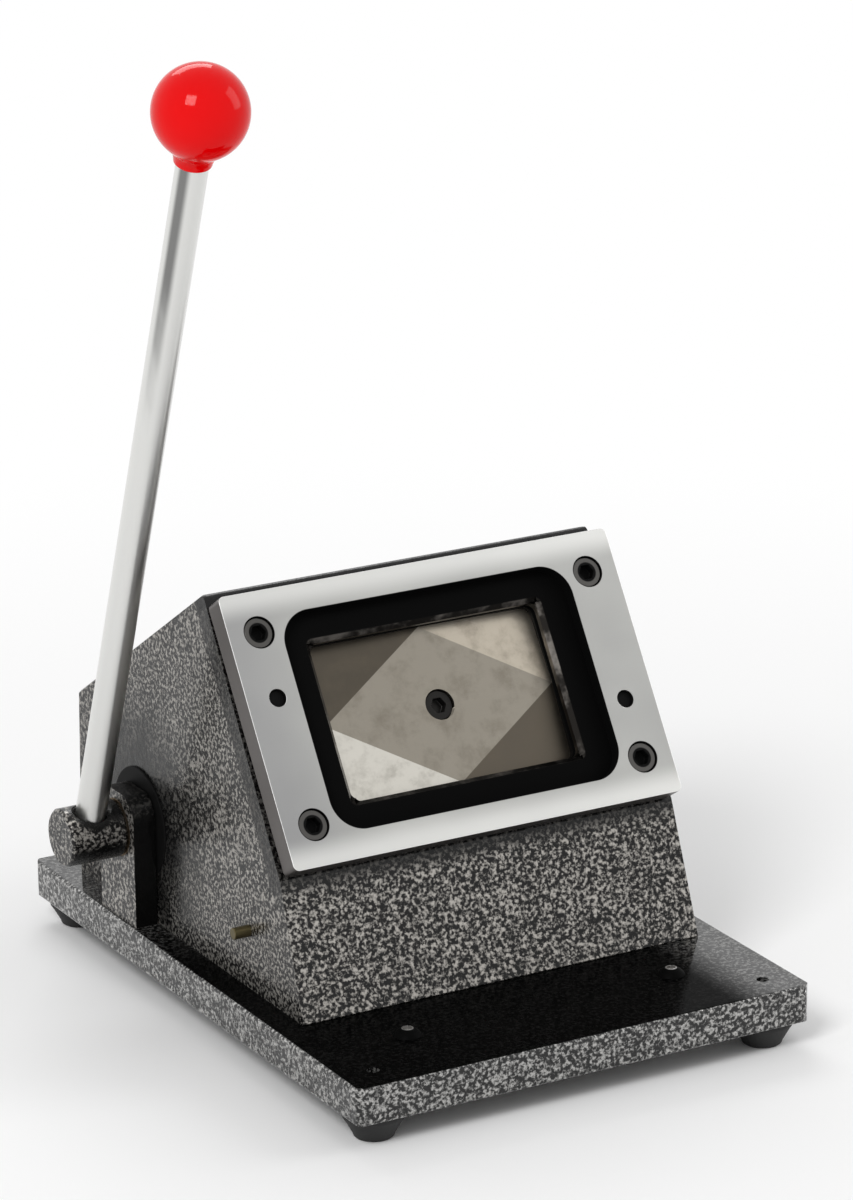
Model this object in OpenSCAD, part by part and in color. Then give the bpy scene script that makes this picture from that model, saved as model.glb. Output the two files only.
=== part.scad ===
// Bench-top cutter for plastic identity cards.
// A side lever turns an eccentric shaft that drives a flat punch through a die in the
// inclined front face. X runs across the machine, -Y is its front, Z is up, and the
// origin lies under the middle of the whole outline, on the table.

/* [Base] */
// Width of the base plate
base_w = 170; // [160:1:190]
// Depth of the base plate, front to back
base_d = 236; // [226:1:250]
// Thickness of the base plate
base_t = 13; // [10:0.5:18]
// Radius of the base plate's upright corners
base_corner_r = 5; // [2:0.5:12]
// Rounding of the base plate's long edges
base_edge_r = 1.2; // [0.4:0.2:3]
// Height of a rubber foot below the base plate
foot_h = 9; // [6:0.5:14]
// Diameter of a rubber foot where it meets the base plate
foot_d = 21; // [16:0.5:24]
// Distance from the base plate's edges to a foot's centre
foot_inset = 12; // [11.5:0.5:20]
// Distance between the two button-head screws at the front of the base plate
front_screw_pitch = 99.4; // [70:1:120]
// Distance from the base plate's front edge to those two screws
front_screw_inset = 31.3; // [20:1:40]

/* [Housing] */
// Width of the cast housing at its foot
housing_w = 150; // [147:0.5:152]
// Draft of the casting's side walls, in degrees
housing_draft = 1; // [0:0.1:1.2]
// Wall thickness of the housing
wall = 8; // [6:0.5:10]
// Lean of the front face back from upright, in degrees
face_tilt = 32.7; // [31:0.1:35]
// Height of the inclined face above its centre
face_up = 51; // [48:0.5:53]
// Height of the inclined face below its centre
face_down = 47; // [46:0.5:50]
// Fall of the roof towards the back, in degrees
roof_fall = 30; // [26:0.5:33]
// Distance from the shaft's axis forward to the foot of the lower panel
housing_front = 116.6; // [112:0.2:120]
// Distance from the shaft's axis to the housing's back
housing_back = 46.5; // [44:0.5:50]
// Distance from the shaft's axis forward to the rod in the left wall
side_rod_front = 78.8; // [70:0.2:100]
// Height of the rod in the left wall above the base plate
side_rod_rise = 20.1; // [14:0.1:26]
// Length of that rod outside the wall
side_rod_out = 5.6; // [4:0.2:7]
// Rounding of the housing's upper front corners
housing_corner_r = 4; // [1:0.5:8]

/* [Lever shaft] */
// Distance from the base plate's middle back to the shaft's axis
shaft_y = 53; // [51:0.5:55]
// Height of the shaft's axis above the base plate
shaft_rise = 32.5; // [31:0.5:36]
// Height of the punch's line above the shaft's axis, measured up the face
punch_offset = 2.5; // [0:0.5:4]
// Diameter of the shaft between its bearings
shaft_d = 16; // [14:0.5:18]
// Diameter of the shaft's two ends
shaft_end_d = 12; // [10:0.5:13]
// Diameter of the eccentric
eccentric_d = 24; // [22:0.5:26]
// Offset of the eccentric from the shaft's axis
eccentric_throw = 7; // [6:0.25:7.5]
// Swing of the lever from rest to the end of its pull, in degrees
lever_swing = 70; // [50:1:75]
// Thickness of the outboard bearing plate
upright_t = 8; // [6:0.5:9]
// Width of the outboard bearing plate
upright_w = 26; // [24:0.5:34]
// Distance from the shaft's axis to the top of the outboard bearing plate
upright_over = 13; // [12:0.5:18]
// Rounding of the outboard bearing plate's top corners
upright_r = 8; // [2:0.5:10]

/* [Lever] */
// Length from the shaft's axis to the middle of the ball
lever_l = 283; // [200:1:320]
// Diameter of the lever rod
lever_d = 10.5; // [9:0.5:11]
// Lean of the lever towards the front at rest, in degrees
lever_lean = 20; // [0:1:25]
// Diameter of the lever hub
hub_d = 20; // [18:0.5:26]
// Length of the lever hub
hub_l = 20.5; // [18:0.5:26]
// Diameter of the ball knob
ball_d = 31; // [26:0.5:40]
// Diameter of the ball knob's neck
ball_neck_d = 13; // [12.5:0.5:16]

/* [Die and punch] */
// Width of the card that is cut
card_w = 86; // [84:0.1:88]
// Height of the card that is cut
card_h = 54; // [52:0.1:56]
// Corner radius of the card
card_r = 3.2; // [2:0.1:4]
// Distance from the shaft's axis to the front plate's ground face
face_reach = 101.5; // [100:0.5:104]
// Distance from the housing's widest side in to the front plate's side
plate_inset = 1.8; // [1:0.1:3]
// Height of the front plate
plate_h = 93; // [92:0.5:96]
// Thickness of the front plate
plate_t = 8.5; // [8:0.25:10]
// Width of the front plate beside its window
window_side = 19; // [18:0.2:20]
// Width of the front plate above and below its window
window_end = 9.2; // [9:0.1:11]
// Corner radius of the front plate's window
window_r = 11; // [8:0.5:14]
// Thickness of the hardened die that sits behind the window
die_t = 3.5; // [3:0.25:5]
// Width of the ledge that carries the die behind the window
die_ledge = 3.5; // [2:0.25:4]
// Bevel round the die's opening
die_bevel = 1.5; // [0.5:0.25:2]
// Width of the slot that takes the printed sheet
slot_w = 2; // [1:0.1:2.5]
// Distance from the front plate's side to its screws
plate_screw_side = 11.1; // [8:0.1:12]
// Distance from the front plate's top and bottom to its screws
plate_screw_end = 13.8; // [9:0.2:16]
// Height of the left dowel above the face's centre
dowel_left_up = 10.3; // [-15:0.5:15]
// Height of the right dowel above the face's centre
dowel_right_up = -12.3; // [-15:0.5:15]
// Diameter of the dowels
dowel_d = 6; // [4:0.5:6.5]
// Depth of the ground relief at the punch's corners
punch_relief = 1.6; // [0.5:0.1:2.5]
// Length of the punch
punch_l = 24; // [22:0.5:26]
// Thickness of the guide plate round the punch
guide_t = 14; // [11:0.5:15]
// Wall of the guide plate round the punch
guide_wall = 6; // [5:0.5:6.5]
// Width of the guide plate's ears above and below that wall
guide_ear = 7; // [6.8:0.1:7.5]
// Distance between the guide plate's screws, across the machine
guide_screw_x = 60; // [40:1:76]

/* [Fits] */
// Radial clearance of a turning or sliding fit
run_gap = 0.03; // [0.02:0.01:0.08]
// Radial clearance of pieces that are fixed in each other
seat_gap = 0.05; // [0.02:0.01:0.1]
// Clearance between the eccentric and its yoke
yoke_gap = 0.35; // [0.3:0.05:0.6]

/* [Hidden] */

$fn = 96;
over = 1;
base_top = foot_h + base_t;
front_y = -base_d / 2;
shaft_z = base_top + shaft_rise;

plate_w = housing_w - 2 * plate_inset;
window_w = plate_w - 2 * window_side;
window_h = plate_h - 2 * window_end;
plate_screw_x = plate_w - 2 * plate_screw_side;
plate_screw_y = plate_h - 2 * plate_screw_end;

// Lengths along the punch's line, measured forward from the shaft's axis.
plate_back = face_reach - plate_t;
face_z = plate_back - slot_w;
guide_back = face_z - guide_t;
punch_rest = 0.3;
punch_face = face_z - punch_rest;
holder_t = 14;
holder_front = punch_face - punch_l;
holder_back = holder_front - holder_t;
web_gap = 1.2;
web_front = holder_back - web_gap;
half_swing = lever_swing / 2;
stroke = 2 * eccentric_throw * sin(half_swing);
yoke_wall = 8;
yoke_mid = -eccentric_throw * sin(half_swing);
yoke_half = eccentric_d / 2 + yoke_gap;
yoke_front = yoke_mid + yoke_half + yoke_wall;
yoke_back = yoke_mid - yoke_half - yoke_wall;
web_back = yoke_front + stroke + 1;
yoke_low = -punch_offset - shaft_d / 2 - 1;
yoke_high = eccentric_throw + eccentric_d / 2 + 1 - punch_offset;
yoke_rim = 6;
yoke_w = 24;
stem_d = 30;
ram_bush_d = 38;
holder_w = card_w - 3;
holder_h = card_h - 3;

// Lengths across the machine.
wall_x = housing_w / 2 - shaft_rise * tan(housing_draft);
inner_x = wall_x - wall;
upright_gap = 1;
upright_x = wall_x + upright_gap;
hub_gap = 0.5;
hub_x = upright_x + upright_t + hub_gap;
hub_end = hub_x + hub_l;
lever_x = -hub_x - hub_l / 2;
hub_cap = 4;
left_bearing_r = eccentric_throw + eccentric_d / 2 + 0.3;
bearing_proud = 0.5;
bearing_l = 12;
right_body_d = 24;
right_flange_d = 32;
right_flange_t = 2;
right_proud = 0.4;
thrust_gap = 0.3;
outboard_bush_d = shaft_d + 4;
outline_left = max(hub_end, ball_d / 2 - lever_x);
origin_shift = (outline_left - base_w / 2) / 2;

// Screws: shank diameter, head diameter, head height, width across the socket's corners.
m6 = [6, 10, 5, 5.6];
m5 = [5, 8.5, 5, 4.5];
m5_button = [5, 9.4, 2.75, 3.4];
m4 = [4, 7, 3.2, 3.4];
screw_lug = 0.6;

train_y0 = shaft_y + punch_offset * sin(face_tilt);
train_z0 = shaft_z + punch_offset * cos(face_tilt);
function train_y(z, t) = train_y0 - z * cos(face_tilt) + t * sin(face_tilt);
function train_z(z, t) = train_z0 + z * sin(face_tilt) + t * cos(face_tilt);

// Outline of the housing seen from its side, counter-clockwise from the lower front.
panel_foot = [shaft_y - housing_front, base_top];
face_foot = [train_y(face_z, -face_down), train_z(face_z, -face_down)];
face_head = [train_y(face_z, face_up), train_z(face_z, face_up)];
back_y = shaft_y + housing_back;
roof_back = [back_y, face_head[1] - (back_y - face_head[0]) * tan(roof_fall)];
housing_outline = [panel_foot, [back_y, base_top], roof_back, face_head, face_foot];
housing_rounds = [0.4, 0.4, 6, 2.5, 1.5];

function cross2(a, b) = a[0] * b[1] - a[1] * b[0];
function unit(v) = v / norm(v);
function moved_edge(p, q, w) =
    let (d = unit(q - p)) [p + w * [-d[1], d[0]], d];
function meet(e, f) = e[0] + e[1] * cross2(f[0] - e[0], f[1]) / cross2(e[1], f[1]);
function inset(pts, w) =
    let (n = len(pts))
    [for (i = [0 : n - 1])
        meet(moved_edge(pts[(i + n - 1) % n], pts[i], w[(i + n - 1) % n]),
             moved_edge(pts[i], pts[(i + 1) % n], w[i]))];
// Points of the arc that rounds the corner b between its neighbours a and c.
function round_corner(a, b, c, r, steps = 8) =
    let (u = unit(a - b), v = unit(c - b), half = acos(u * v) / 2,
         mid = b + unit(u + v) * r / sin(half), from = b + u * r / tan(half),
         turn = cross2(from - mid, b - mid) > 0 ? 1 : -1, d = from - mid)
    [for (i = [0 : steps])
        let (s = turn * (180 - 2 * half) * i / steps)
        mid + [d[0] * cos(s) - d[1] * sin(s), d[0] * sin(s) + d[1] * cos(s)]];
function rounded(pts, r) =
    let (n = len(pts))
    [for (i = [0 : n - 1])
        each round_corner(pts[(i + n - 1) % n], pts[i], pts[(i + 1) % n], r[i])];

// The whole machine is set so that the origin is under the middle of its outline.
module set_down() {
    translate([origin_shift, 0, 0]) children();
}

// Places children with their Z along the punch's line and their Y up the face.
module in_train() {
    set_down() translate([0, train_y0, train_z0]) rotate([90 - face_tilt, 0, 0]) children();
}

// Places children on the shaft's axis, with their Z along X.
module on_shaft() {
    set_down() translate([0, shaft_y, shaft_z]) rotate([90, 0, 90]) children();
}

// Places children with their Z up the lever, from the shaft's axis.
module in_lever() {
    set_down() translate([lever_x, shaft_y, shaft_z]) rotate([lever_lean, 0, 0]) children();
}

module at_corners(w, d) {
    for (x = [-w / 2, w / 2], y = [-d / 2, d / 2]) translate([x, y, 0]) children();
}

module round_rect(w, h, r) {
    square([w - 2 * r, h], center = true);
    square([w, h - 2 * r], center = true);
    at_corners(w - 2 * r, h - 2 * r) circle(r = r);
}

module round_slab(w, h, t, r) {
    linear_extrude(height = t) round_rect(w, h, r);
}

// Extrudes an outline drawn in Y and Z to both sides of the middle plane.
module across(width) {
    rotate([90, 0, 90]) linear_extrude(height = width, center = true) children();
}

// A tube from z0 to z1 along Z.
module tube(r_out, r_in, z0, z1) {
    difference() {
        translate([0, 0, z0]) cylinder(r = r_out, h = z1 - z0);
        translate([0, 0, z0 - over]) cylinder(r = r_in, h = z1 - z0 + 2 * over);
    }
}

// A socket screw whose head stands on Z = 0 and whose shank points down.
module socket_screw(size, length) {
    difference() {
        union() {
            cylinder(d = size[1], h = size[2]);
            translate([0, 0, -length]) cylinder(d = size[0], h = length + over);
        }
        translate([0, 0, size[2] * 0.4]) cylinder(d = size[3], h = size[2], $fn = 6);
    }
}

// The hole for that screw: a through or tapped part and a counterbore.
module screw_hole(size, length, bore_depth) {
    translate([0, 0, -length]) cylinder(d = size[0] + 2 * seat_gap, h = length + over);
    cylinder(d = size[1] + screw_lug, h = bore_depth + over);
}

// ---- Base ----

housing_bolt_x = 2 * (inner_x - 6);
housing_bolt_y = [panel_foot[0] + 18, back_y - 16];
bolt_head_seat = foot_h + 6;
outboard_bolt_pitch = upright_w - 12;

module foot_places() {
    at_corners(base_w - 2 * foot_inset, base_d - 2 * foot_inset) children();
}

module front_screw_places() {
    for (side = [-1, 1])
        translate([side * front_screw_pitch / 2, front_y + front_screw_inset, base_top])
            children();
}

module housing_bolt_places() {
    for (x = [-housing_bolt_x / 2, housing_bolt_x / 2], y = housing_bolt_y)
        translate([x, y, bolt_head_seat]) rotate([180, 0, 0]) children();
}

module outboard_bolt_places() {
    for (side = [-1, 1])
        translate([-upright_x - upright_t / 2, shaft_y + side * outboard_bolt_pitch / 2,
                   bolt_head_seat])
            rotate([180, 0, 0]) children();
}

foot_screw_seat = 5;
foot_screw_top = base_top - 3;

module base_plate() {
    color([0.62, 0.62, 0.61]) set_down() difference() {
        intersection() {
            translate([0, 0, foot_h]) round_slab(base_w, base_d, base_t, base_corner_r);
            translate([0, 0, foot_h + base_t / 2])
                across(base_w) round_rect(base_d, base_t, base_edge_r);
            translate([0, 0, foot_h + base_t / 2]) rotate([90, 0, 0])
                linear_extrude(height = base_d, center = true)
                round_rect(base_w, base_t, base_edge_r);
        }
        foot_places() translate([0, 0, foot_h - over])
            cylinder(d = m4[0] + 2 * seat_gap, h = base_t + 2 * over);
        front_screw_places() translate([0, 0, -base_t - over])
            cylinder(d = m5[0] + 2 * seat_gap, h = base_t + 2 * over);
        housing_bolt_places() screw_hole(m6, base_t, base_t);
        outboard_bolt_places() screw_hole(m5, base_t, base_t);
    }
}

// A tapered rubber foot with a well for its screw.
module rubber_foot() {
    tip_d = foot_d * 0.66;
    well_d = m4[1] + 1;
    difference() {
        rotate_extrude() polygon([
            [0, 0], [tip_d / 2 - 1, 0], [tip_d / 2 - 0.3, 0.4], [tip_d / 2, 1.4],
            [foot_d / 2 - 1, foot_h - 3], [foot_d / 2, foot_h - 1.5],
            [foot_d / 2, foot_h], [0, foot_h]]);
        translate([0, 0, -over]) cylinder(d = well_d, h = foot_screw_seat + over);
        cylinder(d = m4[0] + 2 * seat_gap, h = foot_h + over);
    }
}

module rubber_feet() {
    color([0.08, 0.08, 0.08]) set_down() foot_places() rubber_foot();
}

module foot_screws() {
    color([0.3, 0.3, 0.32]) set_down() foot_places()
        translate([0, 0, foot_screw_seat]) rotate([180, 0, 0])
        socket_screw(m4, foot_screw_top - foot_screw_seat);
}

module front_base_screws() {
    color([0.12, 0.12, 0.12]) set_down() front_screw_places() difference() {
        union() {
            intersection() {
                cylinder(d = m5_button[1], h = m5_button[2]);
                translate([0, 0, -m5_button[2]]) sphere(d = m5_button[1] + 1.6);
            }
            translate([0, 0, -base_t + 1]) cylinder(d = m5_button[0], h = base_t);
        }
        translate([0, 0, m5_button[2] * 0.4])
            cylinder(d = m5_button[3], h = m5_button[2], $fn = 6);
    }
}

// ---- Housing ----

boss_d = 15;
boss_h = 24;
bolt_reach = base_top - bolt_head_seat + 16;
guide_w = card_w + 2 * guide_wall;
guide_h = card_h + 2 * guide_wall;
guide_ear_h = guide_h + 2 * guide_ear;
guide_ear_t = 6;
guide_screw_y = guide_h + guide_ear;
plate_thread = 16;
cover_w = 104;
cover_h = 40;
cover_t = 3;
cover_lap = 10;
cover_open_w = cover_w - 2 * cover_lap;
cover_open_h = cover_h - 2 * cover_lap;
cover_z = (base_top + roof_back[1]) / 2 - 2;
side_rod_d = 4;
side_rod_at = [shaft_y - side_rod_front, base_top + side_rod_rise];
holder_pin_d = 4;
holder_pin_pitch = 19;
holder_pin_reach = 6;
holder_thread = 18;

module plate_screw_places() {
    at_corners(plate_screw_x, plate_screw_y) children();
}

module dowel_places() {
    translate([-plate_screw_x / 2, dowel_left_up, 0]) children();
    translate([plate_screw_x / 2, dowel_right_up, 0]) children();
}

module housing_bolt_bosses() {
    for (x = [-housing_bolt_x / 2, housing_bolt_x / 2], y = housing_bolt_y)
        translate([x, y, base_top]) cylinder(d = boss_d, h = boss_h);
}

// The hollow of the casting, which reaches below its foot by the given depth.
module cavity(depth) {
    across(2 * inner_x) polygon(inset(housing_outline, [-depth, wall, wall, wall, wall]));
}

// The space between the casting's drafted side walls.
module drafted_sides() {
    tall = 2 * base_d;
    head = housing_w / 2 - tall * tan(housing_draft);
    rotate([90, 0, 0]) translate([0, base_top, -base_d]) linear_extrude(height = 2 * base_d)
        polygon([[-housing_w / 2, 0], [housing_w / 2, 0], [head, tall], [-head, tall]]);
}

// The cast body, with a cross web for the ram and bosses for its screws.
module housing() {
    color([0.6, 0.6, 0.59]) difference() {
        union() {
            difference() {
                intersection() {
                    set_down() across(housing_w) polygon(rounded(housing_outline, housing_rounds));
                    set_down() drafted_sides();
                    in_train() translate([0, face_up - base_d, -base_d])
                        round_slab(housing_w, 2 * base_d, 2 * base_d, housing_corner_r);
                }
                set_down() cavity(over);
            }
            intersection() {
                set_down() cavity(0);
                union() {
                    in_train() translate([0, 0, (web_front + web_back) / 2])
                        cube([2 * inner_x, base_d, web_front - web_back], center = true);
                    in_train() plate_screw_places()
                        translate([0, 0, face_z - wall - plate_thread / 2])
                        cylinder(d = boss_d - 1, h = plate_thread);
                    set_down() housing_bolt_bosses();
                }
            }
        }
        in_train() housing_train_cuts();
        on_shaft() housing_bearing_cuts();
        set_down() housing_bolt_places() translate([0, 0, -bolt_reach])
            cylinder(d = m6[0] + 2 * seat_gap, h = bolt_reach);
        set_down() rear_opening();
        set_down() translate([-housing_w / 2 - over, side_rod_at[0], side_rod_at[1]])
            rotate([0, 90, 0]) cylinder(d = side_rod_d + 2 * seat_gap, h = wall / 2 + over);
    }
}

// Everything that is cut square to the inclined face.
module housing_train_cuts() {
    translate([0, 0, face_z - guide_ear_t])
        round_slab(guide_w + 2 * seat_gap, guide_ear_h + 2 * seat_gap, guide_ear_t + over, 5);
    translate([0, 0, guide_back - over])
        round_slab(guide_w + 2 * seat_gap, guide_h + 2 * seat_gap, guide_t + 2 * over, 5);
    plate_screw_places() translate([0, 0, face_z - plate_thread])
        cylinder(d = m6[0] + 2 * seat_gap, h = plate_thread + over);
    dowel_places() translate([0, 0, face_z - wall + 1])
        cylinder(d = dowel_d + 2 * seat_gap, h = wall);
    at_corners(guide_screw_x, guide_screw_y) translate([0, 0, face_z - wall - over])
        cylinder(d = m4[0] + 2 * seat_gap, h = wall);
    translate([0, 0, web_back - over])
        cylinder(d = ram_bush_d + 2 * seat_gap, h = web_front - web_back + 2 * over);
}

module housing_bearing_cuts() {
    translate([0, 0, -wall_x - over])
        cylinder(r = left_bearing_r + seat_gap, h = wall + 2 * over);
    translate([0, 0, inner_x - over])
        cylinder(d = right_body_d + 2 * seat_gap, h = wall + 2 * over);
}

module cover_screw_places() {
    translate([0, back_y, cover_z]) rotate([-90, 0, 0])
        at_corners(cover_w - 10, cover_h - 10) children();
}

module rear_opening() {
    translate([0, back_y - wall - over, cover_z]) rotate([-90, 0, 0])
        round_slab(cover_open_w, cover_open_h, wall + 2 * over, 4);
    cover_screw_places() translate([0, 0, -wall + 1])
        cylinder(d = m4[0] + 2 * seat_gap, h = wall);
}

module housing_bolts() {
    color([0.2, 0.2, 0.21]) set_down() housing_bolt_places() socket_screw(m6, bolt_reach - 1);
}

module rear_cover() {
    color([0.55, 0.55, 0.54]) set_down() difference() {
        translate([0, back_y, cover_z]) rotate([-90, 0, 0])
            round_slab(cover_w, cover_h, cover_t, 4);
        cover_screw_places() translate([0, 0, -over])
            cylinder(d = m4[0] + 2 * seat_gap, h = cover_t + 2 * over);
    }
}

module rear_cover_screws() {
    color([0.2, 0.2, 0.21]) set_down() cover_screw_places()
        translate([0, 0, cover_t]) socket_screw(m4, wall + cover_t - 2);
}

module side_rod() {
    color([0.66, 0.62, 0.5]) set_down()
        translate([-housing_w / 2 - side_rod_out, side_rod_at[0], side_rod_at[1]])
        rotate([0, 90, 0]) cylinder(d = side_rod_d, h = side_rod_out + wall / 2 - 0.5);
}

// ---- Outboard bearing ----

module outboard_plate() {
    tall = base_top - shaft_z;
    color([0.6, 0.6, 0.59]) difference() {
        on_shaft() translate([0, 0, -upright_x - upright_t]) linear_extrude(height = upright_t)
            union() {
                translate([-upright_w / 2, tall])
                    square([upright_w, upright_over - upright_r - tall]);
                translate([-upright_w / 2 + upright_r, tall])
                    square([upright_w - 2 * upright_r, upright_over - tall]);
                for (side = [-1, 1])
                    translate([side * (upright_w / 2 - upright_r), upright_over - upright_r])
                        circle(r = upright_r);
            }
        on_shaft() translate([0, 0, -upright_x - upright_t - over])
            cylinder(d = outboard_bush_d + 2 * seat_gap, h = upright_t + 2 * over);
        set_down() outboard_bolt_places() translate([0, 0, -bolt_reach])
            cylinder(d = m5[0] + 2 * seat_gap, h = bolt_reach);
    }
}

module outboard_bolts() {
    color([0.2, 0.2, 0.21]) set_down() outboard_bolt_places() socket_screw(m5, bolt_reach - 1);
}

module outboard_bush() {
    color([0.72, 0.58, 0.34]) on_shaft()
        tube(outboard_bush_d / 2, shaft_d / 2 + run_gap,
             -upright_x - upright_t, -upright_x);
}

// The disc in the left wall is as large as the eccentric's sweep, which passes through it.
module left_bearing() {
    color([0.07, 0.07, 0.07]) on_shaft()
        tube(left_bearing_r, shaft_d / 2 + run_gap,
             -wall_x - bearing_proud, -wall_x - bearing_proud + bearing_l);
}

module right_bearing() {
    color([0.72, 0.58, 0.34]) on_shaft() difference() {
        union() {
            translate([0, 0, inner_x - right_flange_t])
                cylinder(d = right_flange_d, h = right_flange_t);
            translate([0, 0, inner_x - over])
                cylinder(d = right_body_d, h = wall + over + right_proud);
        }
        translate([0, 0, inner_x - bearing_l])
            cylinder(d = shaft_end_d + 2 * run_gap, h = 2 * bearing_l);
    }
}

// ---- Lever and shaft ----

shaft_left = -hub_end + hub_cap;
shaft_right = wall_x + right_proud + thrust_gap;
right_shoulder = inner_x - right_flange_t - thrust_gap;
washer_t = 2;
washer_d = 20;
tail_d = 6;
tail_in = shaft_end_d / 2 - 2;
rod_foot = shaft_end_d / 2 + seat_gap;

module eccentric_shaft() {
    color([0.55, 0.55, 0.56]) difference() {
        union() {
            on_shaft() translate([0, 0, shaft_left])
                cylinder(d = shaft_end_d, h = shaft_right - shaft_left);
            on_shaft() translate([0, 0, -hub_x]) cylinder(d = shaft_d, h = hub_x + right_shoulder);
            in_train() translate([0, eccentric_throw * cos(half_swing) - punch_offset, yoke_mid])
                rotate([0, 90, 0]) cylinder(d = eccentric_d, h = yoke_w + 2, center = true);
        }
        in_lever() translate([0, 0, -tail_in - 0.2])
            cylinder(d = tail_d + 2 * seat_gap, h = shaft_end_d);
        on_shaft() translate([0, 0, shaft_right - 14]) cylinder(d = m6[0] + 2 * seat_gap, h = 15);
    }
}

// The hub is turned with a broken edge at each end.
module lever_hub() {
    edge = 0.8;
    sink = 1.8;
    color([0.58, 0.58, 0.57]) difference() {
        on_shaft() translate([0, 0, -hub_end]) rotate_extrude() polygon([
            [0, 0], [hub_d / 2 - edge, 0], [hub_d / 2, edge], [hub_d / 2, hub_l - edge],
            [hub_d / 2 - edge, hub_l], [0, hub_l]]);
        on_shaft() translate([0, 0, shaft_left - 0.2])
            cylinder(d = shaft_end_d + 2 * seat_gap, h = hub_l);
        in_lever() cylinder(d = lever_d + 2 * seat_gap, h = hub_d);
        in_lever() translate([0, 0, hub_d / 2 - sink])
            cylinder(r1 = lever_d / 2 + seat_gap, r2 = lever_d / 2 + 2 * sink, h = 2 * sink);
        in_lever() translate([0, 0, -hub_d]) cylinder(d = m5[0] + 2 * seat_gap, h = hub_d);
    }
}

knob_seat = 7;

module lever_rod() {
    color([0.82, 0.82, 0.8]) in_lever() {
        translate([0, 0, rod_foot]) cylinder(d = lever_d, h = lever_l - knob_seat - rod_foot);
        translate([0, 0, -tail_in]) cylinder(d = tail_d, h = tail_in + rod_foot + over);
    }
}

// A turned ball with a short neck, bored from below for the rod.
module ball_knob() {
    r = ball_d / 2;
    neck = ball_neck_d / 2;
    foot = -r - 3;
    lowest = 52;
    color([0.85, 0.02, 0.03]) in_lever() translate([0, 0, lever_l]) difference() {
        rotate_extrude() polygon(concat(
            [for (a = [90 : -6 : -lowest]) [r * cos(a), r * sin(a)]],
            [[neck + 0.6, -r * 0.93], [neck, -r - 0.6], [neck - 0.4, foot + 0.5],
             [neck - 1, foot], [0, foot]]));
        translate([0, 0, foot - over])
            cylinder(d = lever_d + 2 * seat_gap, h = -foot - knob_seat + over + seat_gap);
    }
}

module hub_grub_screw() {
    color([0.15, 0.15, 0.15]) in_lever() difference() {
        translate([0, 0, -hub_d / 2 + 0.2])
            cylinder(d = m5[0], h = (hub_d - shaft_end_d) / 2 - 0.3);
        translate([0, 0, -hub_d / 2 - over]) cylinder(d = 2.8, h = over + 2.2, $fn = 6);
    }
}

module end_washer() {
    color([0.6, 0.6, 0.6]) on_shaft()
        tube(washer_d / 2, m6[0] / 2 + seat_gap, shaft_right, shaft_right + washer_t);
}

module end_screw() {
    color([0.15, 0.15, 0.15]) on_shaft() translate([0, 0, shaft_right + washer_t])
        socket_screw(m6, 14);
}

// ---- Ram and punch ----

module yoke_ram() {
    color([0.5, 0.5, 0.51]) in_train() difference() {
        union() {
            translate([-yoke_w / 2, yoke_low - yoke_rim, yoke_back])
                cube([yoke_w, yoke_high - yoke_low + 2 * yoke_rim, yoke_front - yoke_back]);
            translate([0, 0, yoke_front - over])
                cylinder(d = stem_d - 2 * run_gap, h = holder_back - yoke_front + over);
        }
        translate([-yoke_w / 2 - over, yoke_low, yoke_mid - yoke_half])
            cube([yoke_w + 2 * over, yoke_high - yoke_low, 2 * yoke_half]);
        translate([0, 0, holder_back - holder_thread])
            cylinder(d = m6[0] + 2 * seat_gap, h = holder_thread + over);
        holder_pin_places() translate([0, 0, holder_back - holder_pin_reach])
            cylinder(d = holder_pin_d + 2 * seat_gap, h = holder_pin_reach + over);
    }
}

module holder_pin_places() {
    for (side = [-1, 1]) translate([side * holder_pin_pitch / 2, 0, 0]) children();
}

module ram_bush() {
    color([0.72, 0.58, 0.34]) in_train() tube(ram_bush_d / 2, stem_d / 2, web_back, web_front);
}

module punch_holder() {
    color([0.42, 0.42, 0.43]) in_train() difference() {
        translate([0, 0, holder_back]) round_slab(holder_w, holder_h, holder_t, 4);
        translate([0, 0, holder_back - over])
            cylinder(d = m6[0] + 2 * seat_gap, h = holder_t + 2 * over);
        holder_pin_places() translate([0, 0, holder_back - over])
            cylinder(d = holder_pin_d + 2 * seat_gap, h = holder_t + 2 * over);
    }
}

module holder_pins() {
    color([0.7, 0.7, 0.7]) in_train() holder_pin_places()
        translate([0, 0, holder_back - holder_pin_reach + 0.2])
        cylinder(d = holder_pin_d, h = holder_t + 2 * (holder_pin_reach - 0.2));
}

// The punch's corners are ground back from a lozenge that joins the middles of its edges,
// so that it shears the card from the middle of each side outwards.
module punch() {
    half = [card_w / 2, card_h / 2];
    edge = norm(half);
    slope = atan(punch_relief * edge / (half[0] * half[1]));
    color([0.68, 0.66, 0.62]) in_train() difference() {
        translate([0, 0, holder_front]) round_slab(card_w, card_h, punch_l, card_r);
        for (flip_x = [0, 1], flip_y = [0, 1]) mirror([flip_x, 0, 0]) mirror([0, flip_y, 0])
            translate([half[0], 0, punch_face]) rotate([0, 0, atan2(half[1], -half[0])])
            rotate([slope, 0, 0]) translate([-edge / 4, -edge, 0])
            cube([edge * 1.5, edge, 2 * punch_relief + over]);
        translate([0, 0, punch_face - m6[2] - 1])
            screw_hole(m6, punch_l, m6[2] + 1);
        holder_pin_places() translate([0, 0, holder_front - over])
            cylinder(d = holder_pin_d + 2 * seat_gap, h = holder_pin_reach + over);
    }
}

module punch_screw() {
    seat = punch_face - m6[2] - 1;
    color([0.14, 0.13, 0.12]) in_train() translate([0, 0, seat])
        socket_screw(m6, seat - holder_back + holder_thread - 1);
}

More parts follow.
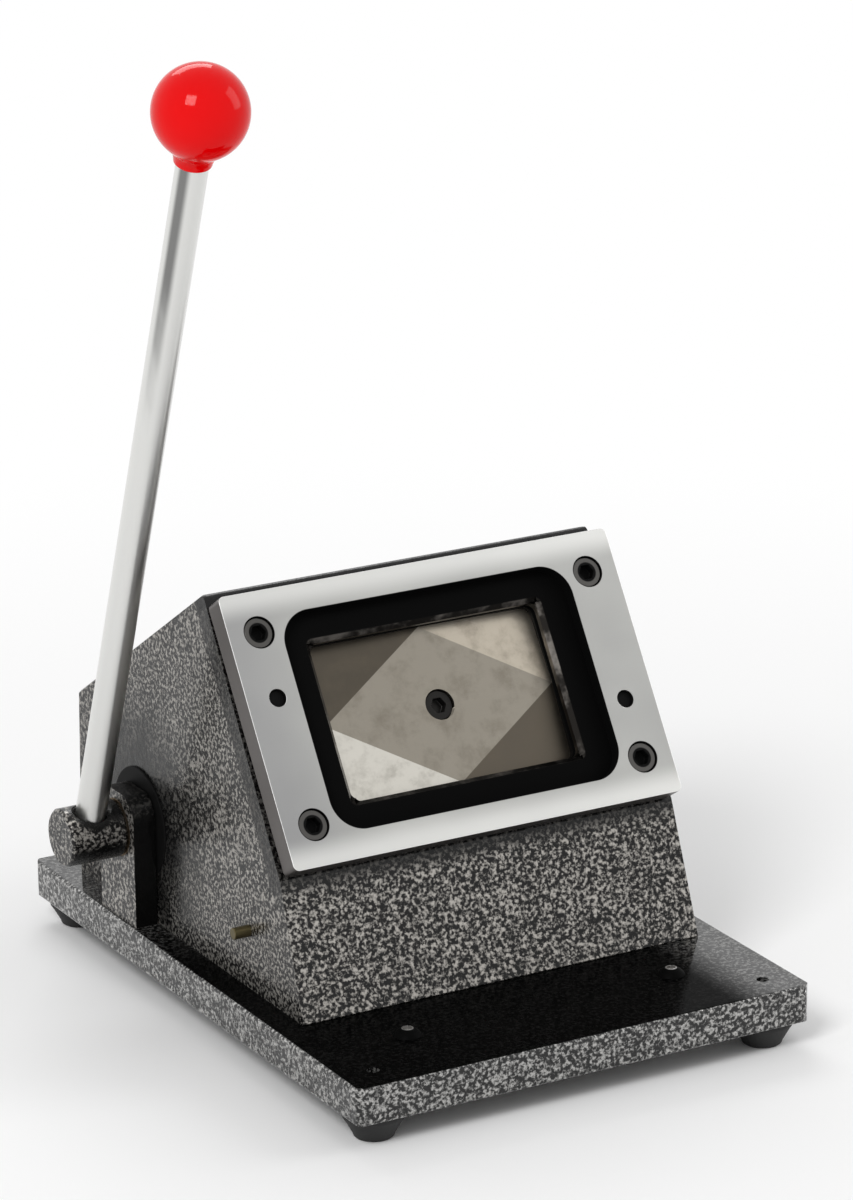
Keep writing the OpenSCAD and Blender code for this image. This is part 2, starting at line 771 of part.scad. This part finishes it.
module guide_plate() {
    color([0.2, 0.2, 0.2]) in_train() difference() {
        union() {
            translate([0, 0, face_z - guide_ear_t])
                round_slab(guide_w, guide_ear_h, guide_ear_t, 5);
            translate([0, 0, guide_back]) round_slab(guide_w, guide_h, guide_t - over, 5);
        }
        translate([0, 0, guide_back - over])
            round_slab(card_w + 2 * run_gap, card_h + 2 * run_gap, guide_t + 2 * over,
                       card_r + run_gap);
        at_corners(guide_screw_x, guide_screw_y) translate([0, 0, face_z - m4[2]])
            screw_hole(m4, guide_ear_t, m4[2]);
    }
}

module guide_screws() {
    color([0.2, 0.2, 0.21]) in_train() at_corners(guide_screw_x, guide_screw_y)
        translate([0, 0, face_z - m4[2]]) socket_screw(m4, wall - m4[2]);
}

// ---- Front plate and die ----

plate_screw_seat = plate_back + plate_t - m6[2] - 0.6;

module front_plate() {
    color([0.85, 0.85, 0.84]) in_train() difference() {
        translate([0, 0, plate_back]) round_slab(plate_w, plate_h, plate_t, 2);
        translate([0, 0, plate_back - over])
            round_slab(window_w, window_h, plate_t + 2 * over, window_r);
        translate([0, 0, plate_back - over])
            round_slab(window_w + 2 * die_ledge, window_h + 2 * die_ledge,
                       die_t + over, window_r + die_ledge);
        plate_screw_places() translate([0, 0, plate_screw_seat])
            screw_hole(m6, plate_t, m6[2] + 1);
        dowel_places() translate([0, 0, plate_back - over])
            cylinder(d = dowel_d + 2 * seat_gap, h = plate_t + 2 * over);
    }
}

// The hardened die is bevelled in front down to a short straight cutting land.
module die() {
    open_w = card_w + 2 * run_gap;
    open_h = card_h + 2 * run_gap;
    color([0.12, 0.12, 0.12]) in_train() difference() {
        translate([0, 0, plate_back])
            round_slab(window_w + 2 * die_ledge - 2 * seat_gap,
                       window_h + 2 * die_ledge - 2 * seat_gap, die_t,
                       window_r + die_ledge - seat_gap);
        translate([0, 0, plate_back - over])
            round_slab(open_w, open_h, die_t + 2 * over, card_r + run_gap);
        for (side = [-1, 1]) {
            translate([side * open_w / 2, 0, plate_back + die_t]) rotate([0, 45, 0])
                cube([die_bevel * sqrt(2), open_h, die_bevel * sqrt(2)], center = true);
            translate([0, side * open_h / 2, plate_back + die_t]) rotate([45, 0, 0])
                cube([open_w, die_bevel * sqrt(2), die_bevel * sqrt(2)], center = true);
        }
    }
}

module slot_spacers() {
    color([0.6, 0.6, 0.6]) in_train() plate_screw_places()
        tube(m6[1] / 2 + 0.8, m6[0] / 2 + seat_gap, face_z, plate_back);
}

module plate_screws() {
    color([0.5, 0.5, 0.5]) in_train() plate_screw_places()
        translate([0, 0, plate_screw_seat])
        socket_screw(m6, plate_screw_seat - face_z + plate_thread - 1);
}

module dowel_pins() {
    color([0.4, 0.4, 0.4]) in_train() dowel_places()
        translate([0, 0, face_z - wall + 1.2])
        cylinder(d = dowel_d, h = wall - 1.2 + slot_w + plate_t - 1.5);
}

base_plate();
rubber_feet();
foot_screws();
front_base_screws();
housing();
housing_bolts();
rear_cover();
rear_cover_screws();
outboard_plate();
outboard_bolts();
outboard_bush();
left_bearing();
right_bearing();
eccentric_shaft();
lever_hub();
lever_rod();
ball_knob();
hub_grub_screw();
end_washer();
end_screw();
yoke_ram();
ram_bush();
punch_holder();
holder_pins();
punch();
punch_screw();
guide_plate();
guide_screws();
front_plate();
die();
slot_spacers();
plate_screws();
dowel_pins();
side_rod();
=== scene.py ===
"""A bench-top cutter for plastic cards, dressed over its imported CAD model.

Everything is in metres, in the CAD's own frame: X across, -Y to the front, Z up.
"""

import math

import bmesh
import bpy
from mathutils import Matrix, Vector


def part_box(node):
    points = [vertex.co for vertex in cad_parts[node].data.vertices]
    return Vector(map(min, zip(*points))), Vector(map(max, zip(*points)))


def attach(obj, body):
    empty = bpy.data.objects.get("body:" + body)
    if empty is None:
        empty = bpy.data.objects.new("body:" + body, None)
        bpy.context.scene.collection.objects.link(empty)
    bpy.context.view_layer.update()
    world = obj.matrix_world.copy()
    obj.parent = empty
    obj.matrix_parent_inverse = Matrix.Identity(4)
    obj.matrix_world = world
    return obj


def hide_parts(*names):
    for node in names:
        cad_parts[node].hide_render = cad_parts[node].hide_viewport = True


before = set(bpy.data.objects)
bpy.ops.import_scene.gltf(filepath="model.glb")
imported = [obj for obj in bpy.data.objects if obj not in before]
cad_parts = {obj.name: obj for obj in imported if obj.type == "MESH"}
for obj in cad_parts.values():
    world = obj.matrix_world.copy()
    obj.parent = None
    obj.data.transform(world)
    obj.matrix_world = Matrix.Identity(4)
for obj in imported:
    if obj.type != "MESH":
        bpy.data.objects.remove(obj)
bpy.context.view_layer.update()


# ---- Base plate ----
# A thick steel plate, sprayed with black and silver hammertone enamel and stoved glossy. Its
# top carries fewer flakes, and in front of the housing it is painted black as painted shade and
# painted dark reflection. Its four corner holes take the feet's screws from below.

MM = 0.001


class Value:
    """A socket in a material, on which the ordinary signs of arithmetic work."""

    def __init__(self, coat, socket):
        self.coat = coat
        self.socket = socket

    def _with(self, operation, first, second=0.0):
        return self.coat.node("ShaderNodeMath", {"operation": operation}, {0: first, 1: second})

    def __add__(self, other):
        return self._with("ADD", self, other)

    def __sub__(self, other):
        return self._with("SUBTRACT", self, other)

    def __rsub__(self, other):
        return self._with("SUBTRACT", other, self)

    def __mul__(self, other):
        return self._with("MULTIPLY", self, other)

    def __abs__(self):
        return self._with("ABSOLUTE", self)

    __radd__ = __add__
    __rmul__ = __mul__

    def root(self):
        return self._with("SQRT", self)

    def or_more(self, other):
        """The larger of two values."""
        return self._with("MAXIMUM", self, other)


class Coat:
    """A material whose shader sockets are set by name and whose patterns lie on the object."""

    def __init__(self, name, kind="materials", shader="Principled BSDF", **sockets):
        self.material = getattr(bpy.data, kind).new(name)
        self.material.use_nodes = True
        self.tree = self.material.node_tree
        self.shader = self.tree.nodes[shader]
        self.set(sockets)

    def feed(self, socket, value):
        if isinstance(value, Value):
            self.tree.links.new(value.socket, socket)
        else:
            socket.default_value = value

    def set(self, sockets):
        for name, value in sockets.items():
            self.feed(self.shader.inputs[name.replace("_", " ")], value)

    def node(self, kind, settings=None, inputs=None, out=0):
        made = self.tree.nodes.new(kind)
        for name, value in (settings or {}).items():
            setattr(made, name, value)
        for name, value in (inputs or {}).items():
            self.feed(made.inputs[name], value)
        return Value(self, made.outputs[out])

    def spot(self):
        """Where the point lies."""
        return self.node("ShaderNodeTexCoord", out="Object")

    def part(self, vector, axis):
        """A vector's X, Y or Z, for an axis of 0, 1 or 2."""
        return self.node("ShaderNodeSeparateXYZ", None, {0: vector}, out=axis)

    def vectors(self, operation, first, second=(0, 0, 0)):
        """Vector maths, which gives a number where the operation measures something."""
        measures = operation in ("DOT_PRODUCT", "DISTANCE", "LENGTH")
        return self.node("ShaderNodeVectorMath", {"operation": operation},
                         {0: first, 1: tuple(second)}, out=1 if measures else 0)

    def noise(self, size, detail=2.0, roughness=0.5, stretch=(1, 1, 1)):
        """Noise whose grains are about size metres across."""
        place = self.node("ShaderNodeMapping", None, {"Vector": self.spot(), "Scale": stretch})
        return self.node("ShaderNodeTexNoise", None, {
            "Vector": place, "Scale": 1 / size, "Detail": detail, "Roughness": roughness})

    def step(self, value, low, high):
        """0 up to low and 1 from high on, with a smooth rise between them."""
        return self.node("ShaderNodeMapRange", {"interpolation_type": "SMOOTHSTEP"}, {
            0: value, 1: low, 2: high, 3: 0.0, 4: 1.0})

    def mix(self, share, first, second):
        return self.node("ShaderNodeMix", {"data_type": "RGBA"}, {
            0: share, 6: (*first, 1) if isinstance(first, tuple) else first,
            7: (*second, 1) if isinstance(second, tuple) else second}, out=2)

    def facing(self, way):
        """1 where the surface looks along way, 0 where it stands square to it."""
        return self.vectors("DOT_PRODUCT", self.node("ShaderNodeTexCoord", out="Normal"), way)

    def bump(self, height, depth):
        """Raises the surface by height times depth metres."""
        self.set({"Normal": self.node("ShaderNodeBump", None, {
            "Height": height, "Distance": depth, "Strength": 1.0})})


def hammertone(name, ground, fleck, amount, gloss, dimple, grain, soft, plain):
    """Enamel that dries in small pools: dark veins round silver flakes, and shallow dimples.

    The flakes thin out in faces that look along a way in plain, by the share given there."""
    coat = Coat(name, Coat_Weight=0.15, Coat_Roughness=gloss * 0.5, Specular_IOR_Level=0.2)
    pools = coat.noise(grain, detail=2.5, roughness=0.6)
    drift = coat.noise(16 * MM, detail=1.0)
    middle = 0.56 - amount
    coat.flakes = coat.step(pools + (drift - 0.5) * 0.03, middle - soft, middle + soft)
    for way, share in plain:
        coat.flakes = coat.flakes * (1.0 - coat.step(coat.facing(way), 0.9, 0.995) * share)
    coat.colour = coat.mix(coat.flakes, ground, fleck)
    coat.set({
        "Base Color": coat.colour,
        "Metallic": coat.flakes * 0.9,
        "Roughness": gloss + coat.flakes * 0.16,
    })
    coat.bump(pools + coat.noise(3.0 * grain, detail=0.0) * 0.8, dimple)
    return coat


def finished(node, name, body, coat, edge=0.0, segments=2):
    """A merged copy of a CAD node with its sharp edges broken, which stands for the node."""
    sharp, flat, touching = math.radians(28), math.radians(0.3), 0.002 * MM
    bm = bmesh.new()
    bm.from_mesh(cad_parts[node].data)
    bmesh.ops.remove_doubles(bm, verts=bm.verts, dist=touching)
    bmesh.ops.dissolve_limit(bm, angle_limit=flat, verts=bm.verts, edges=bm.edges)
    if edge:
        keen = [e for e in bm.edges if len(e.link_faces) == 2 and e.calc_face_angle(0) > sharp]
        bmesh.ops.bevel(bm, geom=keen, offset=edge, offset_type="OFFSET", affect="EDGES",
                        segments=segments, profile=0.5, material=-1, clamp_overlap=True)
    bmesh.ops.recalc_face_normals(bm, faces=bm.faces)
    mesh = bpy.data.meshes.new(name)
    bm.to_mesh(mesh)
    bm.free()
    mesh.shade_smooth()
    mesh.set_sharp_from_angle(angle=sharp)
    mesh.materials.clear()
    mesh.materials.append(coat.material)
    piece = bpy.data.objects.new(name, mesh)
    bpy.context.scene.collection.objects.link(piece)
    even = piece.modifiers.new("even_shading", "WEIGHTED_NORMAL")
    even.keep_sharp = True
    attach(piece, body)
    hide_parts(node)


base_enamel = hammertone("base_enamel", (0.003, 0.003, 0.003), (0.46, 0.455, 0.44), 0.0, 0.12,
                         0.05 * MM, grain=1.2 * MM, soft=0.12, plain=[((0, 0, 1), 0.65)])
# Where the painted black shade in front of the housing fades into flakes: towards the right
# edge, and towards the rear.
fade_right, fade_rear = (66 * MM, 88 * MM), (0.0, 70 * MM)
here = base_enamel.spot()
painted_shade_front = ((1.0 - base_enamel.step(base_enamel.part(here, 0), *fade_right))
            * (1.0 - base_enamel.step(base_enamel.part(here, 1), *fade_rear))
            * base_enamel.step(base_enamel.facing((0, 0, 1)), 0.8, 0.95))
# The black top in front of the housing is painted shade and painted dark reflection, and its
# coat is taken off there.
base_enamel.set({
    "Base Color": base_enamel.mix(painted_shade_front * 0.96, base_enamel.colour, (0.001, 0.001, 0.001)),
    "Metallic": base_enamel.flakes * (0.9 - painted_shade_front * 0.87),
    "Coat Weight": 1.0 - painted_shade_front,
    "Specular IOR Level": 0.01,
})
finished("base_plate", "base_slab", "frame", base_enamel)


# ---- Feet ----
# Four tapered feet of black moulded rubber, one under each corner of the base plate. Each is
# held by a steel screw, which goes up through the foot into the plate.

rubber = Coat("rubber", Base_Color=(0.012, 0.012, 0.012, 1), Roughness=0.72)
finished("rubber_feet", "feet", "frame", rubber, edge=0.3 * MM)


def dress(coat, *nodes):
    """Gives CAD nodes that keep their own shape a material."""
    for node in nodes:
        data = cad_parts[node].data
        data.materials.clear()
        data.materials.append(coat.material)


machined = Coat("machined_steel", Base_Color=(0.42, 0.42, 0.43, 1), Metallic=1.0, Roughness=0.34)
dress(machined, "foot_screws")


# ---- Screws in black oxide ----
# Socket and button heads, blackened and oiled, so that their rims still catch the light. The
# button heads are all but lost on the black base, save for a painted glint round their sockets.

oxide = Coat("black_oxide", Base_Color=(0.02, 0.019, 0.018, 1), Metallic=0.8, Roughness=0.3,
             Specular_IOR_Level=0.2)
heads_low, heads_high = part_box("front_base_screws")
heads_middle = [(low + high) / 2 for low, high in zip(heads_low, heads_high)]
head_radius = (heads_high[1] - heads_low[1]) / 2
half_pitch = (heads_high[0] - heads_low[0]) / 2 - head_radius
glint_edge = (1.7 * MM, 2.1 * MM)
button_black = Coat("button_black", Specular_IOR_Level=0.02)
here = button_black.spot()
aside = abs(button_black.part(here, 0) - heads_middle[0]) - half_pitch
ahead = button_black.part(here, 1) - heads_middle[1]
# A bright metal patch round each socket is a painted glint.
painted_glint = 1.0 - button_black.step((aside * aside + ahead * ahead).root(), *glint_edge)
button_black.set({
    "Base Color": button_black.mix(painted_glint, (0.002, 0.002, 0.002), (0.42, 0.41, 0.40)),
    "Metallic": painted_glint,
    "Roughness": 0.5 - painted_glint * 0.15,
})
finished("front_base_screws", "button_screws", "frame", button_black,
         edge=0.15 * MM)
finished("rear_cover_screws", "cover_screws", "frame", oxide, edge=0.25 * MM)
dress(oxide, "housing_bolts", "outboard_bolts", "hub_grub_screw", "guide_screws")
finished("end_screw", "shaft_screw", "lever", oxide, edge=0.3 * MM)


# ---- Housing ----
# One iron casting, open below, with its rear cover and the upright that carries the shaft's
# end. All are enamelled. On the inclined face round the front plate, and on the wall round the
# left bearing, painted shade darkens the enamel.

face_tilt = math.radians(32.7)
along = Vector((0, -math.cos(face_tilt), math.sin(face_tilt)))
uphill = Vector((0, math.sin(face_tilt), math.cos(face_tilt)))
face_low, face_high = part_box("front_plate")
face_middle = (Vector(face_low) + Vector(face_high)) / 2
disc_low, disc_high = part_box("left_bearing")
shaft_middle = (Vector(disc_low) + Vector(disc_high)) / 2


def on_face(coat):
    """Three values at a point: across the machine, up the face, and out of the face."""
    away = coat.vectors("SUBTRACT", coat.spot(), face_middle)
    return [coat.vectors("DOT_PRODUCT", away, way) for way in ((1, 0, 0), uphill, along)]


def cast(name, plain=(), amount=0.005):
    return hammertone(name, (0.003, 0.003, 0.003), (0.42, 0.40, 0.37), amount, 0.24,
                      0.12 * MM, grain=1.3 * MM, soft=0.12, plain=plain)


def darken(coat, dark):
    """Paints shade over the enamel, black by the share dark."""
    coat.set({
        "Base Color": coat.mix(dark, coat.colour, (0.003, 0.003, 0.003)),
        "Metallic": coat.flakes * (0.9 - dark * 0.85),
    })


wall_enamel = cast("wall_enamel")
# Painted shade on the left wall round the bearing, with a ragged edge.
from_shaft = wall_enamel.vectors("DISTANCE", wall_enamel.spot(), shaft_middle)
cloud = wall_enamel.noise(12 * MM, detail=3.0)
bearing_shade_reach, bearing_shade_spread = (36 * MM, 74 * MM), 30 * MM
bearing_shade = 0.95 - 0.95 * wall_enamel.step(from_shaft + cloud * bearing_shade_spread, *bearing_shade_reach)
# Painted shade: a black strip on the casting above the front plate, a softer shadow under it.
plate_top, plate_foot = (45.5 * MM, 46.5 * MM), (-54 * MM, -47 * MM)
face_skin = (-14 * MM, -13 * MM)
_, up_face, out_face = on_face(wall_enamel)
at_face = wall_enamel.step(out_face, *face_skin)
above_plate = wall_enamel.step(up_face, *plate_top) * at_face
below_plate = wall_enamel.step(up_face, *plate_foot) * at_face * 0.8
darken(wall_enamel, bearing_shade.or_more(above_plate).or_more(below_plate))
finished("housing", "cast_housing", "frame", wall_enamel, edge=1.0 * MM,
         segments=3)
finished("rear_cover", "back_cover", "frame", cast("cover_enamel"), edge=0.5 * MM)
# The upright's front and its rounded top are nearly plain black: painted shade.
upright_painted_shade = [((0, -1, 0), 1.0), ((0, -0.7, 0.7), 0.9), ((0, 0, 1), 0.9),
                 ((0, -0.92, 0.38), 0.9), ((0, -0.38, 0.92), 0.9)]
finished("outboard_plate", "bearing_upright", "frame",
         cast("upright_enamel", upright_painted_shade), edge=0.8 * MM, segments=3)


# ---- Bearings ----
# A blackened steel disc fills the bore in the left wall, and turned bronze bushes sit in the
# upright, the right wall and the casting's inner web. All are brown or black with oil.

black_steel = Coat("hardened_black", Base_Color=(0.004, 0.004, 0.004, 1), Roughness=0.5,
                   Specular_IOR_Level=0.05)
finished("left_bearing", "bearing_disc", "frame", black_steel, edge=0.3 * MM)
bronze = Coat("bronze", Base_Color=(0.14, 0.095, 0.05, 1), Metallic=1.0, Roughness=0.42)
dress(bronze, "ram_bush")
finished("outboard_bush", "upright_bush", "frame", bronze, edge=0.25 * MM)
finished("right_bearing", "flanged_bush", "frame", bronze, edge=0.25 * MM)


# ---- Lever ----
# A satin steel rod screwed into an enamelled hub, with a red ball moulded on its upper end.
# Painted shade darkens the hub round the rod, below, and beside the upright, and a painted dark
# reflection runs along one side of the rod's upper end.

lever_lean = math.radians(20)
rod_way = Vector((0, -math.sin(lever_lean), math.cos(lever_lean)))
rod_low, rod_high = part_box("lever_rod")
rod_foot = Vector(((rod_low[0] + rod_high[0]) / 2, shaft_middle.y, shaft_middle.z))
rod_end = (rod_foot.x, rod_low[1], rod_high[2])

hub_shade_round, hub_shade_up, hub_shade_in = (7.0 * MM, 8.6 * MM), (0.0, 4 * MM), (1 * MM, 6 * MM)
hub_enamel = cast("hub_enamel", amount=-0.01)
# Painted shade on the hub: round the rod's foot, on its top beside the upright, and below.
from_foot = hub_enamel.vectors("SUBTRACT", hub_enamel.spot(), rod_foot)
off_rod = hub_enamel.vectors("LENGTH", hub_enamel.vectors("CROSS_PRODUCT", from_foot, rod_way))
up_rod = hub_enamel.vectors("DOT_PRODUCT", from_foot, rod_way)
ring = (1.0 - hub_enamel.step(off_rod, *hub_shade_round)) * hub_enamel.step(up_rod, *hub_shade_up)
upper = (hub_enamel.step(hub_enamel.facing((0, -0.3, 0.95)), 0.5, 0.85)
         * hub_enamel.step(hub_enamel.part(from_foot, 0), *hub_shade_in))
under = hub_enamel.step(hub_enamel.facing((0, -0.45, -0.89)), 0.45, 0.75)
darken(hub_enamel, ring.or_more(upper).or_more(under))
finished("lever_hub", "hub", "lever", hub_enamel, edge=0.4 * MM)

reflection_reach, reflection_spread = (70 * MM, 150 * MM), 60 * MM
satin = Coat("satin_steel", Metallic=1.0, Roughness=0.28)
# A painted dark reflection along one side of the rod's upper end, fading towards the hub.
from_end = satin.vectors("DISTANCE", satin.spot(), rod_end)
ragged = satin.noise(8 * MM, stretch=(1, 1, 0.1)) * reflection_spread
side = satin.facing((0.87, -0.49, 0))
painted_reflection = (satin.step(side, -0.85, -0.6) * (1.0 - satin.step(side, -0.35, 0.05))
          * (1.0 - satin.step(from_end + ragged, *reflection_reach)))
satin.set({"Base Color": satin.mix(painted_reflection * 0.8, (0.74, 0.74, 0.72), (0.10, 0.10, 0.10))})
finished("lever_rod", "rod", "lever", satin, edge=0.4 * MM)

red = Coat("red_ball", Base_Color=(0.78, 0.0, 0.001, 1), Roughness=0.07,
           Specular_IOR_Level=0.14)
finished("ball_knob", "ball", "lever", red, edge=0.3 * MM)
dress(machined, "eccentric_shaft")
finished("end_washer", "shaft_washer", "lever", machined, edge=0.2 * MM)


# ---- Front plate ----
# A steel plate, ground on its face along its length. Its milled window and the counterbores for
# its four screws are black inside. Its face has painted light at its ends and on its edges, and
# painted shade at its left end.

window_width, window_height, window_round = 108.4 * MM, 74.6 * MM, 11 * MM
screw_across, screw_up = (face_high[0] - face_low[0]) / 2 - 11.1 * MM, 32.7 * MM
window_skin, counterbore = (0.05 * MM, 0.25 * MM), (5.4 * MM, 5.55 * MM)
lit_face_ends, shaded_left_end = (36 * MM, 45 * MM), (-72 * MM, -45 * MM)


def outside(across, up, width, height, round_by):
    """How far a point lies outside a rectangle with rounded corners."""
    side = (abs(across) - (width / 2 - round_by)).or_more(0.0)
    end = (abs(up) - (height / 2 - round_by)).or_more(0.0)
    return (side * side + end * end).root() - round_by


def from_screw(across, up):
    """How far a point on the face lies from the middle of the nearest plate screw."""
    side, end = abs(across) - screw_across, abs(up) - screw_up
    return (side * side + end * end).root()


ground_steel = Coat("ground_steel", Specular_IOR_Level=0.02)
across, up_face, _ = on_face(ground_steel)
strokes = ground_steel.noise(0.5 * MM, detail=3.0, roughness=0.6, stretch=(0.02, 1, 1))
clouds = ground_steel.noise(40 * MM, detail=2.0)
past_window = outside(across, up_face, window_width, window_height, window_round)
bare = (ground_steel.step(past_window, *window_skin)
        * ground_steel.step(from_screw(across, up_face), *counterbore))
painted_light_ends = ground_steel.step(abs(up_face), *lit_face_ends)
painted_left_shade = 1.0 - ground_steel.step(across, *shaded_left_end)
level_with = ground_steel.facing(along)
edge_on = 1.0 - ground_steel.step(level_with, 0.04, 0.35)
painted_edge_highlight = ground_steel.step(level_with, 0.99, 0.9)
# Painted light and shade: lighter ends, a darker left end, and a painted highlight on the edges.
shade = ground_steel.mix(clouds, (0.27, 0.27, 0.265), (0.45, 0.45, 0.43))
shade = ground_steel.mix(painted_left_shade * 0.5, shade, (0.22, 0.22, 0.23))
shade = ground_steel.mix(painted_light_ends * 0.75, shade, (0.66, 0.66, 0.64))
shade = ground_steel.mix(painted_edge_highlight * 0.7, shade, (0.9, 0.9, 0.88))
shade = ground_steel.mix(edge_on, shade, (0.13, 0.12, 0.115))
ground_steel.set({
    "Base Color": ground_steel.mix(bare, (0.004, 0.004, 0.004), shade),
    "Metallic": bare,
    "Roughness": 0.46 - bare * 0.16 + strokes * 0.14,
})
ground_steel.bump(strokes, 0.006 * MM)
finished("front_plate", "face_plate", "frame", ground_steel, edge=0.5 * MM)


# ---- Plate screws ----
# Four socket-head screws in counterbores, which hold the front plate on its spacers. Their rims
# are brighter bare metal, and inside the rims the heads are painted black as shade of the
# sockets.

socket_edge = (3.2 * MM, 3.6 * MM)
rim_metal_socket_shade = Coat("rim_metal_socket_shade", Specular_IOR_Level=0.05)
across, up_face, _ = on_face(rim_metal_socket_shade)
# Inside the rim, the black is painted shade of the socket.
rim = rim_metal_socket_shade.step(from_screw(across, up_face), *socket_edge)
rim_metal_socket_shade.set({
    "Base Color": rim_metal_socket_shade.mix(rim, (0.003, 0.003, 0.003), (0.085, 0.082, 0.078)),
    "Metallic": rim,
    "Roughness": 0.5 - rim * 0.2,
})
finished("plate_screws", "face_screws", "frame", rim_metal_socket_shade, edge=0.7 * MM)


# ---- Die ----
# A hardened plate with the card's own opening, held in a ledge behind the window. It is black
# all over but for the bright bevel that is ground round the opening.

card_width, card_height, opening_round = 86 * MM, 54 * MM, 1 * MM
bevel_edge = (1.3 * MM, 1.7 * MM)
die_steel = Coat("die_steel", Specular_IOR_Level=0.015)
across, up_face, _ = on_face(die_steel)
beyond = outside(across, up_face, card_width, card_height, opening_round)
bevel_ring = 1.0 - die_steel.step(beyond, *bevel_edge)
patches = die_steel.step(die_steel.noise(14 * MM, detail=4.0, roughness=0.6), 0.47, 0.66)
worn = die_steel.mix(patches, (0.012, 0.011, 0.010), (0.13, 0.12, 0.11))
die_steel.set({
    "Base Color": die_steel.mix(bevel_ring, (0.003, 0.003, 0.003), worn),
    "Metallic": bevel_ring,
    "Roughness": 0.55 - bevel_ring * 0.25,
})
finished("die", "cutting_die", "frame", die_steel, edge=0.1 * MM)


# ---- Spacers, punch guide and dowels ----
# Turned steel spacers on the plate's screws keep the slot for the sheet open, and two hardened
# dowels place the plate. The black guide for the punch is let into the housing's face.

finished("slot_spacers", "spacers", "frame", machined, edge=0.15 * MM)
finished("guide_plate", "punch_guide", "frame", black_steel)
finished("dowel_pins", "dowels", "frame", black_steel, edge=0.3 * MM)


# ---- Punch ----
# Hardened steel, ground on its end so that four low slopes fall from a lozenge to the corners.
# Each slope is painted with its own light and shade, and handling has stained them.

ridge = (-0.1 * MM, 0.1 * MM)
punch_steel = Coat("punch_steel", Metallic=1.0)
across, up_face, _ = on_face(punch_steel)
lozenge = abs(across) * (2 / card_width) + abs(up_face) * (2 / card_height)
slope = punch_steel.step(lozenge, 0.995, 1.005)
right_half = punch_steel.step(across, *ridge)
top_half = punch_steel.step(up_face, *ridge)
# Painted light and shade: the lower left and upper right slopes are lit, the other two shaded.
left_tone = punch_steel.mix(top_half, (0.56, 0.54, 0.49), (0.078, 0.068, 0.054))
right_tone = punch_steel.mix(top_half, (0.090, 0.078, 0.062), (0.35, 0.315, 0.26))
slope_light_and_shade = punch_steel.mix(right_half, left_tone, right_tone)
tone = punch_steel.mix(slope, (0.24, 0.22, 0.185), slope_light_and_shade)
stain = punch_steel.step(punch_steel.noise(9 * MM, detail=5.0, roughness=0.65), 0.42, 0.75)
grind = punch_steel.noise(0.4 * MM, detail=2.0, stretch=(0.05, 1, 1))
punch_steel.set({
    "Base Color": punch_steel.mix(stain * 0.45, tone, (0.10, 0.085, 0.065)),
    "Roughness": 0.30 + grind * 0.15 + stain * 0.08,
})
finished("punch", "punch_block", "ram", punch_steel)
finished("punch_screw", "centre_screw", "ram", oxide, edge=0.3 * MM)
dress(machined, "yoke_ram", "punch_holder", "holder_pins")


# ---- Side rod ----
# A short turned rod, set in the left wall near the front. It is worn to a dull brown, like old
# brass.

pin_brass = Coat("worn_brass", Base_Color=(0.12, 0.10, 0.05, 1), Metallic=0.9, Roughness=0.4)
finished("side_rod", "wall_rod", "frame", pin_brass, edge=0.3 * MM)


# ---- Floor, light and camera ----
# A pale sheet under white surroundings, lit by large soft lamps. The sheet takes the shadow and
# fades into plain white a little way off.

machine_middle = Vector((0, 0, 0.1))


def lamp(name, place, size, power):
    """A soft lamp that is turned to the middle of the machine."""
    light = bpy.data.lights.new(name, "AREA")
    light.shape = "RECTANGLE"
    light.size, light.size_y = size
    light.energy = power
    made = bpy.data.objects.new(name, light)
    made.location = place
    aim = machine_middle - Vector(place)
    made.rotation_euler = aim.to_track_quat("-Z", "Y").to_euler()
    bpy.context.scene.collection.objects.link(made)


def looked_at(coat):
    """1 where the camera looks, also by way of gloss or glass, and 0 for all other light."""
    camera_ray, gloss_ray, glass_ray = (
        coat.node("ShaderNodeLightPath", out=f"Is {kind} Ray")
        for kind in ("Camera", "Glossy", "Transmission"))
    return camera_ray.or_more(gloss_ray).or_more(glass_ray)


lamp("key_lamp", (-1.4, -1.0, 1.6), (0.8, 0.8), 24)
lamp("side_lamp", (1.6, -0.7, 1.0), (0.8, 1.2), 8)
lamp("back_lamp", (0.4, 1.5, 1.5), (1.4, 0.7), 12)

bm = bmesh.new()
bmesh.ops.create_grid(bm, x_segments=1, y_segments=1, size=6.0)
floor_mesh = bpy.data.meshes.new("floor")
bm.to_mesh(floor_mesh)
bm.free()
fade_out = (0.24, 0.65)
paper = Coat("paper", Base_Color=(0.95, 0.95, 0.95, 1), Roughness=0.9)
away = paper.vectors("LENGTH", paper.spot())
glow = paper.node("ShaderNodeEmission", None, {"Color": (1, 1, 1, 1), "Strength": 1.0})
blend = paper.node("ShaderNodeMixShader", None, {
    0: paper.step(away, *fade_out) * looked_at(paper),
    1: Value(paper, paper.shader.outputs[0]), 2: glow})
paper.feed(paper.tree.nodes["Material Output"].inputs["Surface"], blend)
floor_mesh.materials.append(paper.material)
floor = bpy.data.objects.new("floor", floor_mesh)
bpy.context.scene.collection.objects.link(floor)

around = Coat("surroundings", "worlds", "Background", Color=(1, 1, 1, 1))
level = around.node("ShaderNodeMapRange", None, {0: looked_at(around), 3: 0.45, 4: 1.0})
around.set({"Strength": level})
bpy.context.scene.world = around.material

camera_data = bpy.data.cameras.new("camera")
camera_data.sensor_fit = "AUTO"
camera_data.sensor_width = 36
camera_data.lens = 154.24
camera_data.clip_start, camera_data.clip_end = 0.05, 50
camera = bpy.data.objects.new("camera", camera_data)
right = Vector((0.86995, -0.49304, -0.00984))
up = Vector((0.16140, 0.26580, 0.95042))
back = Vector((-0.46598, -0.82841, 0.31080))
eye = Vector((-0.776219, -1.4155, 0.66545))
camera.matrix_world = Matrix.Translation(eye) @ Matrix((right, up, back)).transposed().to_4x4()
bpy.context.scene.collection.objects.link(camera)
bpy.context.scene.camera = camera
bpy.context.scene.view_settings.view_transform = "Standard"
